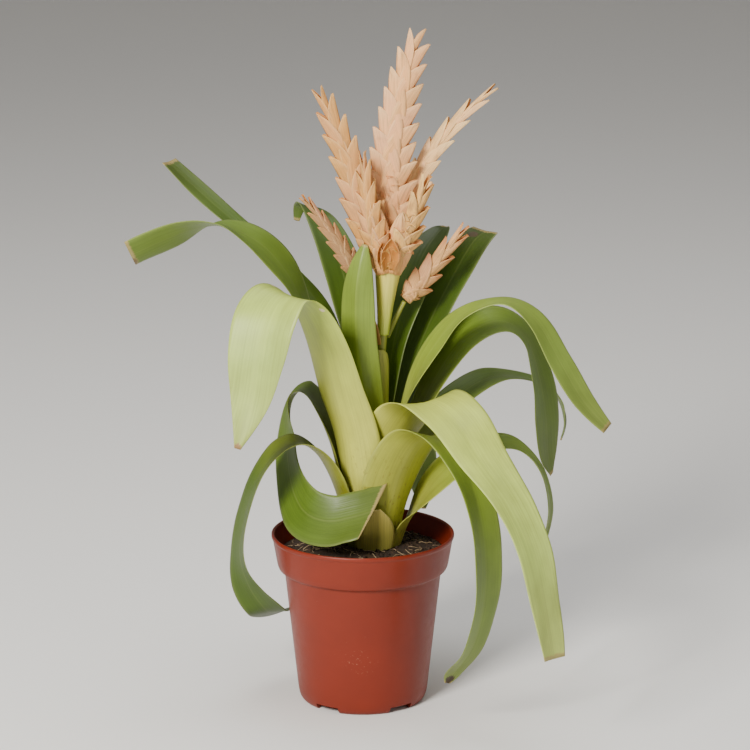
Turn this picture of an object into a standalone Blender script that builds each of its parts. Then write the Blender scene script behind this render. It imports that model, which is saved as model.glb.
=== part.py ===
"""Potted flaming-sword bromeliad: nursery pot, soil, rosette of strap leaves and a dried flower head.

Metres, +Z up, the pot's resting face on z = 0 and centred on the origin. The front is -Y.
"""

import math

import bmesh
import bpy
from mathutils import Matrix, Vector

MM = 0.001
TURN_STEPS = 40
GAP = 0.3

# Pot, in mm
RIM_RADIUS = 60.0
POT_HEIGHT = 113.0
WALL = 1.4
COLLAR_LOW = 89.0
COLLAR_RADIUS = 56.2
BODY_TOP_RADIUS = 51.5
BASE_RADIUS = 42.0
FLOOR_RAISE = 4.5
NOTCH_WIDTH = 17.0
NOTCH_HEIGHT = 4.2
NOTCH_COUNT = 5
DRAIN_RADIUS = 4.0
DRAIN_RING = 29.0
DRAIN_COUNT = 6

# Soil and the short woody crown that the leaves grow from
SOIL_EDGE = 100.0
SOIL_TOP = 106.5
CROWN_X = 7.0
CROWN_RADIUS = 20.5
CROWN_TOP = 103.8
CROWN_LOW = 84.0

LEAF_THICKNESS = 0.8
LEAF_ACROSS = 4

# Each leaf: bearing in degrees from +X, then rows of
# (out from the crown, up, width, roll in degrees, half-angle of the curl, sideways shift).
LEAVES = {
    "leaf_inner_upright": (250, [
        (7, 105, 16, 0, 64, 0), (8, 150, 23, 0, 78, 0), (13, 200, 28, 0, 62, -2),
        (18, 245, 27, 0, 48, -5), (19, 275, 24, 0, 45, -5), (17, 295, 16, 0, 45, -3),
        (13, 308, 4, 0, 40, -1)]),
    "leaf_back_right_inner": (56, [
        (7, 105, 12, 0, 50, 0), (8.5, 150, 16, 0, 54, 0), (12.5, 190, 16, 0, 37, 0),
        (24, 235, 22, 0, 26, 0), (41, 266, 32, 0, 22, 0), (60, 289, 28, 0, 18, 0),
        (78, 300, 16, 0, 18, 0), (86, 302, 5, 0, 18, 0)]),
    "leaf_back_dark": (119, [
        (8.5, 105, 11, 0, 37, 0), (10.5, 150, 14, 0, 38, 0), (14.5, 190, 17, 0, 33, 0),
        (21, 232, 21, 0, 28, 0), (33, 264, 30, 0, 26, 0), (50, 289, 28, 0, 18, 0),
        (70, 307, 22, 0, 15, 0), (88, 314, 16, 15, 14, 0), (101, 312, 9, 30, 12, 0),
        (106, 302, 4, 40, 10, 0)]),
    "leaf_right_slim": (346, [
        (8.5, 105, 12, 0, 40, 0), (10.2, 140, 13, 0, 36, 0), (15, 175, 18, 4, 34, 0),
        (25, 210, 23, 22, 24, 2), (40, 240, 24, 34, 16, 6), (60, 262, 23, 18, 12, 8),
        (84, 270, 22, 8, 8, 11), (104, 258, 22, 26, 8, 13), (120, 231, 23, 36, 8, 15),
        (134, 207, 21, 36, 8, 17), (151, 188, 14, 26, 8, 18)]),
    "leaf_back_right": (40, [
        (10, 105, 13, 0, 38, 0), (13, 145, 17, 0, 37, 0), (21, 185, 24, 0, 33, 0),
        (34, 220, 31, 0, 26, 0), (52, 252, 34, 0, 20, 0), (72, 279, 34, 0, 15, 0),
        (86, 295, 32, 0, 14, 0), (97, 301, 24, 0, 14, 0)]),
    "leaf_left_back": (153, [
        (10, 105, 15, 0, 43, 0), (14, 150, 18, 0, 37, 0), (22, 205, 21, 0, 30, 0),
        (36, 253, 20, 0, 18, -2), (61, 279, 19, -4, 14, -2), (87, 300, 18, -8, 12, 0),
        (115, 319, 18, -10, 12, 0), (136, 334, 18, -8, 14, 0), (152, 346, 17, 0, 16, 0)]),
    "leaf_left_long": (188, [
        (11.5, 105, 20, 0, 50, 0), (16, 150, 27, 0, 48, 0), (26, 205, 33, 0, 37, 0),
        (39, 243, 34, -2, 26, 0), (51, 278, 33, -22, 14, 0), (67, 302, 33, -27, 10, 0),
        (86, 316, 33, -12, 8, 0), (104, 321, 31, 14, 8, 0), (128, 315, 29, 44, 8, 0),
        (156, 303, 27, 50, 8, 0)]),
    "leaf_right_broad": (24, [
        (11.5, 105, 12, 0, 30, 0), (15, 140, 14, 0, 27, 0), (25, 172, 20, 0, 23, 0),
        (42, 208, 31, 6, 21, 0), (64, 236, 36, 10, 16, 0), (89, 246, 36, 15, 12, 0),
        (109, 234, 36, 30, 12, 0), (120, 205, 35, 48, 12, 0), (125, 178, 33, 55, 12, 0),
        (127, 152, 24, 55, 12, 0), (130, 137, 6, 50, 12, 0)]),
    "leaf_front_right_long": (298, [
        (13, 105, 24, 0, 53, 0), (16, 140, 31, 0, 54, -1), (21, 172, 43, 0, 48, 1),
        (31, 197, 46, 4, 30, 9), (52, 211, 46, 20, 16, 13), (80, 205, 42, 24, 11, 17),
        (108, 184, 38, 16, 11, 21), (136, 162, 34, 8, 12, 26), (156, 137, 31, 4, 12, 29),
        (168, 104, 28, 2, 12, 31), (177, 73, 21, 0, 12, 32)]),
    "leaf_front_left_broad": (226, [
        (14.5, 105, 35, 0, 69, 0), (19, 140, 44, 0, 64, 0), (25, 178, 48, 0, 48, 1),
        (33, 215, 44, 0, 30, -3), (43, 246, 42, -2, 22, -4), (58, 273, 42, -8, 15, -5),
        (76, 283, 43, -10, 12, -6), (91, 270, 43, -23, 12, -6), (99, 246, 38, -29, 14, -6),
        (104, 219, 26, -32, 14, -7), (114, 190, 4, -38, 12, -9)]),
    "leaf_right_mid": (36, [
        (14.5, 105, 14, 0, 28, 0), (20, 132, 19, 0, 27, 0), (38, 166, 26, 0, 22, 0),
        (66, 192, 29, 5, 16, 0), (98, 203, 28, 5, 12, 0), (130, 196, 27, 5, 12, 0),
        (152, 182, 24, 25, 12, 0), (160, 163, 17, 40, 12, 0), (157, 150, 6, 40, 12, 0)]),
    "leaf_back_low_left": (97, [
        (14.5, 105, 15, 0, 30, 0), (19, 135, 20, 0, 30, 0), (30, 165, 28, 0, 26, 0),
        (52, 187, 33, 0, 16, 0), (82, 193, 34, 0, 12, 0), (108, 178, 32, 0, 12, 0),
        (124, 148, 26, 0, 12, 0), (130, 118, 5, 0, 12, 0)]),
    "leaf_front_right_low": (298, [
        (16, 105, 30, 0, 53, 0), (21.5, 132, 40, 0, 53, 0), (32, 163, 46, 0, 38, 3),
        (50, 187, 44, 0, 24, 8), (74, 190, 40, 0, 16, 12), (95, 177, 36, 0, 18, 15),
        (108, 155, 33, -8, 20, 17), (114, 125, 32, -8, 20, 19), (114, 92, 29, -8, 20, 18),
        (105, 62, 22, 0, 18, 15), (88, 40, 12, 20, 12, 11), (82, 32, 4, 30, 12, 10)]),
    "leaf_left_low": (200, [
        (17.5, 105, 24, 0, 39, 0), (22, 132, 28, 0, 37, 0), (30, 155, 32, 0, 31, 0),
        (40, 171, 34, 0, 22, 0), (53, 178, 34, 0, 16, -1), (67, 170, 34, -4, 13, -5),
        (78, 148, 33, -10, 12, -12), (84, 120, 32, -14, 12, -18), (84, 96, 31, -28, 12, -23),
        (76, 74, 30, -56, 12, -28), (65, 58, 28, -76, 12, -32), (56, 51, 26, -84, 12, -42),
        (38, 49, 22, -86, 12, -54), (24, 48, 6, -86, 12, -64)]),
    "leaf_back_low_right": (72, [
        (16, 105, 17, 0, 30, 0), (22, 126, 22, 0, 29, 0), (35, 146, 28, 0, 23, 0),
        (57, 158, 31, 0, 16, 0), (80, 154, 30, 0, 12, 0), (98, 136, 26, 0, 12, 0),
        (107, 114, 17, 0, 12, 0), (110, 98, 4, 0, 12, 0)]),
    "leaf_right_low": (343, [
        (17.5, 105, 23, 0, 37, 0), (23, 120, 26, 3, 34, 0), (34, 138, 32, 24, 26, 0),
        (48, 156, 31, 36, 18, 0), (66, 171, 28, 32, 12, 0), (86, 180, 23, 14, 8, 0),
        (102, 176, 20, -6, 8, 0), (114, 161, 18, -10, 8, 0), (119, 139, 13, 0, 8, 0),
        (116, 117, 4, 20, 8, 0)]),
    "leaf_left_curled": (168, [
        (16, 105, 24, 0, 43, 0), (20, 135, 28, 0, 41, 0), (27, 170, 32, 0, 32, 0),
        (37, 196, 33, 0, 20, 0), (46, 207, 32, 0, 14, 0), (55, 198, 30, -22, 12, -2),
        (58, 177, 28, -46, 10, -2), (55, 156, 29, -56, 10, 7), (48, 141, 31, -66, 10, 20),
        (37, 132, 34, -76, 10, 32), (21, 130, 35, -86, 10, 39), (5, 134, 35, -92, 10, 40),
        (-8, 138, 34, -94, 10, 37)]),
}

OLD_SHEATH = (272, [
    (19.0, 105, 26, 0, 39, 0), (22.5, 115, 28, 0, 36, 0), (27, 127, 22, 0, 26, 0),
    (31, 137, 7, 0, 16, 0)])

# Green sheaths wrapped round the flower stem, in the same rows
STEM_SHEATHS = {
    "stem_sheath_low": (270, 10.2, [
        (5.4, 172, 30, 0, 150, 0), (5.8, 190, 32, 0, 150, 0), (6.2, 215, 32, 0, 140, 0),
        (6.0, 230, 22, 0, 100, 0), (6.0, 237, 7, 0, 50, 0)]),
    "stem_sheath_high": (262, 15.0, [
        (4.8, 250, 27, 0, 150, 0), (5.4, 262, 29, 0, 150, 0), (5.9, 278, 33, 0, 150, 0),
        (5.8, 289, 31, 0, 140, 0)]),
    "stem_bract_small": (205, 12.5, [
        (4.6, 240, 10, 0, 50, 0), (7.0, 250, 12, 0, 45, 0), (10.6, 262, 9, 0, 35, 0),
        (13.4, 272, 2.5, 0, 25, 0)]),
}

# Flower stem centreline (x, y, z) and radius, in mm
STEM = [(7.0, 0.0, 104.9, 3.4), (8.0, 0.0, 150.0, 3.4), (9.5, 0.0, 205.0, 3.2),
        (12.5, 0.0, 240.0, 3.0), (15.0, 0.0, 265.0, 2.9), (16.6, 0.0, 296.0, 2.7)]
SIDE_STEM = [(16.0, 4.2, 243.0, 1.6), (21.5, 7.0, 255.0, 1.6), (27.0, 8.4, 266.0, 1.5)]

# Each flower spike: base, bend, tip, width at base and at tip, thickness, bracts on a side,
# and the direction its flat face looks
SPIKES = {
    "spike_center": ((17.5, 0, 297), (20, -3, 372), (35.8, 0, 446), 36, 15, 6.0, 11, (0.05, -1, 0)),
    "spike_left": ((10.2, -2.6, 291), (-5, -8, 350), (-28.7, -10, 409), 30, 11, 5.0, 8, (-0.25, -1, 0.1)),
    "spike_right": ((23.6, 2.2, 290), (38, 10, 352), (85.8, 12, 406), 24, 6, 4.4, 8, (-0.35, -0.9, 0.5)),
    "spike_front_left": ((12.8, -8.6, 297), (5, -15, 327), (0, -19, 370), 22, 7, 4.2, 6, (-0.3, -1, 0)),
    "spike_front_right": ((21.5, -6.4, 298), (30, -12, 318), (41, -11, 353), 25, 9, 4.4, 5, (0.45, -1, 0.1)),
    "bract_front_open": ((16.6, -10.6, 291), (17, -17, 304), (19, -20, 323), 15, 8, 2.6, 3, (0.1, -1, 0)),
    "spike_low_left": ((-3, -2.6, 283), (-17, -8, 310), (-39, -15, 340), 17, 5, 3.6, 6, (0.5, -1, 0.4)),
    "spike_low_right": ((27.6, 8.6, 267), (42, 11, 284), (67, 12, 316), 23, 8, 4.4, 5, (0.35, -1, -0.2)),
}
SPIKE_LOW_STALK = [(8.6, 4.4, 247.0, 1.4), (3.5, 3.0, 266.0, 1.4), (-2.2, -2.0, 281.6, 1.4)]

COLORS = {
    "terracotta": ((0.60, 0.16, 0.06), 0.4),
    "soil": ((0.05, 0.03, 0.02), 0.75),
    "crown": ((0.20, 0.13, 0.06), 0.75),
    "leaf_green": ((0.22, 0.36, 0.08), 0.4),
    "sheath_brown": ((0.32, 0.22, 0.09), 0.75),
    "stem_green": ((0.42, 0.50, 0.16), 0.4),
    "bract_beige": ((0.62, 0.42, 0.27), 0.75),
}


def clear_scene():
    for obj in list(bpy.data.objects):
        bpy.data.objects.remove(obj)


def new_collection(name):
    made = bpy.data.collections.new(name)
    bpy.context.scene.collection.children.link(made)
    return made


def new_material(name):
    color, roughness = COLORS[name]
    made = bpy.data.materials.new(name)
    made.use_nodes = True
    shader = made.node_tree.nodes["Principled BSDF"]
    shader.inputs["Base Color"].default_value = (*color, 1.0)
    shader.inputs["Roughness"].default_value = roughness
    shader.inputs["Metallic"].default_value = 0.0
    made.diffuse_color = (*color, 1.0)
    return made


def add_mesh(name, verts, faces, material, collection):
    mesh = bpy.data.meshes.new(name)
    mesh.from_pydata([tuple(c * MM for c in v) for v in verts], [], faces)
    obj = bpy.data.objects.new(name, mesh)
    collection.objects.link(obj)
    if material:
        mesh.materials.append(material)
    return obj


def turned(name, profile, material, collection):
    """A closed outline of (radius, height) points turned about the Z axis."""
    verts = [(r, 0.0, z) for r, z in profile]
    count = len(verts)
    mesh = bpy.data.meshes.new(name)
    edges = [(i, (i + 1) % count) for i in range(count)]
    mesh.from_pydata([tuple(c * MM for c in v) for v in verts], edges, [])
    obj = bpy.data.objects.new(name, mesh)
    collection.objects.link(obj)
    if material:
        mesh.materials.append(material)
    screw = obj.modifiers.new("turn", "SCREW")
    screw.axis = "Z"
    screw.steps = TURN_STEPS
    screw.render_steps = TURN_STEPS
    screw.use_merge_vertices = True
    screw.merge_threshold = 0.00005
    return obj


def cut(obj, cutter):
    modifier = obj.modifiers.new("cut_" + cutter.name, "BOOLEAN")
    modifier.operation = "DIFFERENCE"
    modifier.solver = "EXACT"
    modifier.object = cutter


def as_cutter(obj):
    obj.hide_render = True
    obj.display_type = "WIRE"
    return obj


def block_ring(name, count, ring, size, height, collection):
    """Boxes spaced evenly on a circle, as one closed cutter."""
    mesh = bpy.data.meshes.new(name)
    build = bmesh.new()
    for index in range(count):
        angle = math.tau * (index + 0.27) / count
        place = Matrix.Rotation(angle, 4, "Z") @ Matrix.Translation((ring * MM, 0, height * MM))
        scale = Matrix.Diagonal((size[0] * MM, size[1] * MM, size[2] * MM, 1.0))
        bmesh.ops.create_cube(build, size=1.0, matrix=place @ scale)
    build.to_mesh(mesh)
    build.free()
    obj = bpy.data.objects.new(name, mesh)
    collection.objects.link(obj)
    return as_cutter(obj)


def hole_ring(name, count, ring, radius, collection):
    """Upright cylinders spaced evenly on a circle, as one closed cutter."""
    mesh = bpy.data.meshes.new(name)
    build = bmesh.new()
    for index in range(count):
        angle = math.tau * index / count
        place = Matrix.Rotation(angle, 4, "Z") @ Matrix.Translation((ring * MM, 0, FLOOR_RAISE * MM))
        bmesh.ops.create_cone(build, cap_ends=True, segments=12, radius1=radius * MM,
                              radius2=radius * MM, depth=14 * MM, matrix=place)
    build.to_mesh(mesh)
    build.free()
    obj = bpy.data.objects.new(name, mesh)
    collection.objects.link(obj)
    return as_cutter(obj)


def build_pot(parts, cutters):
    foot = 2.4
    outer = [
        (RIM_RADIUS - 0.6, POT_HEIGHT), (RIM_RADIUS, POT_HEIGHT - 0.8),
        (RIM_RADIUS - 0.1, POT_HEIGHT - 2.6),
        (RIM_RADIUS - 1.0, POT_HEIGHT - 3.6), (COLLAR_RADIUS, COLLAR_LOW + 3.0),
        (COLLAR_RADIUS - 0.9, COLLAR_LOW + 0.8), (COLLAR_RADIUS - 2.6, COLLAR_LOW),
        (BODY_TOP_RADIUS, COLLAR_LOW - 0.8), (BASE_RADIUS + 0.4, 6.0), (BASE_RADIUS - 0.8, 2.2),
        (BASE_RADIUS - 2.4, 0.0),
    ]
    under = [
        (BASE_RADIUS - 2.4 - foot, 0.0), (BASE_RADIUS - 3.0 - foot, FLOOR_RAISE), (23.0, FLOOR_RAISE),
        (21.5, 0.0), (0.0, 0.0),
    ]
    inner = [
        (0.0, 1.8), (21.0, 1.8), (22.6, FLOOR_RAISE + 1.6), (BASE_RADIUS - 2.6, FLOOR_RAISE + 1.6),
        (BODY_TOP_RADIUS - WALL, COLLAR_LOW + 0.6), (COLLAR_RADIUS - WALL - 1.2, COLLAR_LOW + 2.6),
        (RIM_RADIUS - 1.0 - WALL, POT_HEIGHT - 3.2), (RIM_RADIUS - 0.6 - WALL, POT_HEIGHT - 0.5),
    ]
    pot = turned("pot", outer + under + inner, new_material("terracotta"), parts)
    size = (12.0, NOTCH_WIDTH, 2 * NOTCH_HEIGHT)
    notches = block_ring("notch_cutter", NOTCH_COUNT, BASE_RADIUS - 3.0, size, 0.0, cutters)
    drains = hole_ring("drain_cutter", DRAIN_COUNT, DRAIN_RING, DRAIN_RADIUS, cutters)
    cut(pot, notches)
    cut(pot, drains)


def build_soil(parts, cutters):
    top_edge = COLLAR_RADIUS - WALL - 0.7
    outline = [
        (0.0, SOIL_TOP), (CROWN_RADIUS + 8.0, SOIL_TOP),
        (top_edge - 6.0, SOIL_EDGE + 0.8), (top_edge, SOIL_EDGE),
        (top_edge - 1.1, COLLAR_LOW + 3.2), (BODY_TOP_RADIUS - WALL - 0.7, COLLAR_LOW),
        (BASE_RADIUS - 3.4, FLOOR_RAISE + 2.1), (22.0, FLOOR_RAISE + 2.1), (20.6, 2.4), (0.0, 2.4),
    ]
    soil = turned("soil", outline, new_material("soil"), parts)
    wide, low, high = CROWN_RADIUS + GAP, CROWN_LOW - GAP, SOIL_TOP + 5.0
    room = [(wide, high), (wide, low), (0.0, low), (0.0, high)]
    cutter = as_cutter(turned("crown_cutter", room, None, cutters))
    cutter.location.x = CROWN_X * MM
    cut(soil, cutter)


def smooth_rows(rows, per_span):
    """The rows joined by a Catmull-Rom curve, with per_span samples between two of them."""
    found = []
    count = len(rows)
    for i in range(count - 1):
        before = rows[max(i - 1, 0)]
        after = rows[min(i + 2, count - 1)]
        for step in range(per_span):
            t = step / per_span
            ends = zip(before, rows[i], rows[i + 1], after)
            found.append([spline(*values, t) for values in ends])
    found.append(list(rows[-1]))
    return found


def spline(a, b, c, d, t):
    square = 2 * a - 5 * b + 4 * c - d
    cube = 3 * b - a - 3 * c + d
    return 0.5 * (2 * b + (c - a) * t + square * t * t + cube * t ** 3)


def carried_frames(points, side):
    """Along the points: (tangent, side) with the side direction carried from the start without twist."""
    frames = []
    for i, _ in enumerate(points):
        ahead = points[min(i + 1, len(points) - 1)]
        behind = points[max(i - 1, 0)]
        tangent = (ahead - behind).normalized()
        side = (side - tangent * side.dot(tangent)).normalized()
        frames.append((tangent, side.copy()))
    return frames


def strap_grid(bearing, rows, per_span, across, center):
    """Grid of points of a strap leaf, one line across the blade per sampled row."""
    angle = math.radians(bearing)
    outward = Vector((math.cos(angle), math.sin(angle), 0.0))
    sideways = Vector((-math.sin(angle), math.cos(angle), 0.0))
    sampled = smooth_rows(rows, per_span)
    start = Vector((center[0], center[1], 0.0))
    points = [start + outward * row[0] + sideways * row[5] + Vector((0, 0, row[1])) for row in sampled]
    grid = []
    for row, point, (tangent, side) in zip(sampled, points, carried_frames(points, sideways)):
        roll = math.radians(row[3])
        half = math.radians(max(row[4], 3.0))
        face = tangent.cross(side)
        turned_side = side * math.cos(roll) + face * math.sin(roll)
        turned_face = face * math.cos(roll) - side * math.sin(roll)
        radius = max(row[2], 1.0) / (2 * half)
        line = []
        for step in range(across + 1):
            phi = half * (2 * step / across - 1)
            aside = turned_side * (radius * math.sin(phi))
            line.append(point + aside + turned_face * (radius * (1 - math.cos(phi))))
        grid.append(line)
    return grid


def grid_mesh(name, grid, material, collection):
    wide = len(grid[0])
    verts = [point for line in grid for point in line]
    faces = []
    for i in range(len(grid) - 1):
        for j in range(wide - 1):
            k = i * wide + j
            faces.append((k, k + 1, k + wide + 1, k + wide))
    return add_mesh(name, verts, faces, material, collection)


def thicken(obj, thickness):
    modifier = obj.modifiers.new("thickness", "SOLIDIFY")
    modifier.thickness = thickness * MM
    modifier.offset = 0.0
    return obj


def build_leaf(name, bearing, rows, material, parts):
    grid = strap_grid(bearing, rows, 2, LEAF_ACROSS, (CROWN_X, 0.0))
    thicken(grid_mesh(name, grid, material, parts), LEAF_THICKNESS)


def build_crown(parts):
    low, top, radius = CROWN_LOW, CROWN_TOP, CROWN_RADIUS
    outline = [
        (radius - 1.5, top), (radius, top - 2.0), (radius - 3.0, low + 4.0), (radius - 9.0, low),
        (0.0, low), (0.0, top),
    ]
    crown = turned("crown", outline, new_material("crown"), parts)
    crown.location.x = CROWN_X * MM


def tube(name, path, material, collection):
    """A round stem through the (x, y, z, radius) points."""
    curve = bpy.data.curves.new(name, "CURVE")
    curve.dimensions = "3D"
    curve.bevel_depth = MM
    curve.bevel_resolution = 2
    curve.use_fill_caps = True
    line = curve.splines.new("POLY")
    line.points.add(len(path) - 1)
    for point, (x, y, z, radius) in zip(line.points, path):
        point.co = (x * MM, y * MM, z * MM, 1.0)
        point.radius = radius
    curve.materials.append(material)
    obj = bpy.data.objects.new(name, curve)
    collection.objects.link(obj)
    return obj


def spike_point(base, bend, tip, t):
    """A point on the spine, which passes near the bend point at its middle."""
    control = bend * 2 - (base + tip) * 0.5
    return base * (1 - t) ** 2 + control * (2 * t * (1 - t)) + tip * t * t


def ring_at(center, tangent, across, facing, left, right, sweep_left, sweep_right, thick):
    """Eight points round a flat section whose two edges are swept forward by their own amounts."""
    edge = 0.5
    left_edge = center - across * left + tangent * sweep_left
    right_edge = center + across * right + tangent * sweep_right
    return [
        left_edge + facing * edge,
        center - across * left * 0.45 + facing * thick * 0.42 + tangent * sweep_left * 0.3,
        center + facing * thick * 0.5,
        center + across * right * 0.45 + facing * thick * 0.42 + tangent * sweep_right * 0.3,
        right_edge + facing * edge,
        right_edge - facing * edge,
        center - facing * thick * 0.5,
        left_edge - facing * edge,
    ]


def build_spike(name, spec, material, parts):
    """Overlapping bracts in two ranks, grown together as one toothed flat body."""
    base, bend, tip = (Vector(point) for point in spec[:3])
    wide, narrow, thick, bracts, look = spec[3], spec[4], spec[5], spec[6], Vector(spec[7])
    pitch = (tip - base).length / bracts
    steps = 2 * bracts
    rings = []
    for step in range(steps + 1):
        t = step / steps * 0.94
        center = spike_point(base, bend, tip, t)
        ahead, behind = (spike_point(base, bend, tip, t + step_aside) for step_aside in (0.02, -0.02))
        tangent = (ahead - behind).normalized()
        across = tangent.cross(look.normalized()).normalized()
        facing = across.cross(tangent).normalized()
        swell = min(1.0, 0.42 + t * 2.0)
        half = 0.5 * (wide + (narrow - wide) * t) * swell
        depth = thick * (0.55 + 0.45 * swell) * (1 - 0.55 * t)
        is_left = step % 2 == 0
        out, notch = half, half * 0.76
        left = out if is_left else notch
        right = notch if is_left else out
        sweep = min(pitch * 0.28, (tip - center).length * 0.5)
        rings.append(ring_at(center, tangent, across, facing, left, right, sweep if is_left else 0.0,
                             0.0 if is_left else sweep, depth))
    verts = [point for ring in rings for point in ring] + [base, tip]
    size = len(rings[0])
    faces = []
    for i in range(len(rings) - 1):
        for j in range(size):
            k = (j + 1) % size
            faces.append((i * size + j, i * size + k, (i + 1) * size + k, (i + 1) * size + j))
    low, high = len(verts) - 2, len(verts) - 1
    last = (len(rings) - 1) * size
    for j in range(size):
        k = (j + 1) % size
        faces.append((low, k, j))
        faces.append((high, last + j, last + k))
    add_mesh(name, verts, faces, material, parts)


def main():
    clear_scene()
    parts = new_collection("potted_bromeliad")
    cutters = new_collection("cutters")
    cutters.hide_render = True
    build_pot(parts, cutters)
    build_soil(parts, cutters)
    build_crown(parts)
    green = new_material("leaf_green")
    for name, (bearing, rows) in LEAVES.items():
        build_leaf(name, bearing, rows, green, parts)
    build_leaf("sheath_old", *OLD_SHEATH, new_material("sheath_brown"), parts)
    stem = new_material("stem_green")
    tube("flower_stem", STEM, stem, parts)
    tube("side_stem_right", SIDE_STEM, stem, parts)
    tube("side_stem_left", SPIKE_LOW_STALK, stem, parts)
    for name, (bearing, center_x, rows) in STEM_SHEATHS.items():
        grid = strap_grid(bearing, rows, 2, 8, (center_x, 0.0))
        thicken(grid_mesh(name, grid, stem, parts), 0.7)
    beige = new_material("bract_beige")
    for name, spec in SPIKES.items():
        build_spike(name, spec, beige, parts)


main()
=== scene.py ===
"""Looks of the potted bromeliad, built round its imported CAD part."""

import math
import random

import bmesh
import bpy
from mathutils import Matrix, Vector, noise


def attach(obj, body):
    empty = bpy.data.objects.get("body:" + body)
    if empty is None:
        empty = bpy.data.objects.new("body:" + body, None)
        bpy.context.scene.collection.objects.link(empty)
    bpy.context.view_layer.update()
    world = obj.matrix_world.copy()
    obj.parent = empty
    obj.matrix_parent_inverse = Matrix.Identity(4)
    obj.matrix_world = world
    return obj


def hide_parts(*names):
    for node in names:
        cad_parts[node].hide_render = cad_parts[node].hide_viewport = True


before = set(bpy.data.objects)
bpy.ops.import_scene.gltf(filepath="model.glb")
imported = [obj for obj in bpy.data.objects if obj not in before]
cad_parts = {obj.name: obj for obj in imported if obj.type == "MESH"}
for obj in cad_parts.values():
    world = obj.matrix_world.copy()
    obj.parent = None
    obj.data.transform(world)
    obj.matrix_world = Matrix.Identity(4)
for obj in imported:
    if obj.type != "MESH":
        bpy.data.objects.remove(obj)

MM = 0.001
CROWN = (7.0, 0.0)

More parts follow.
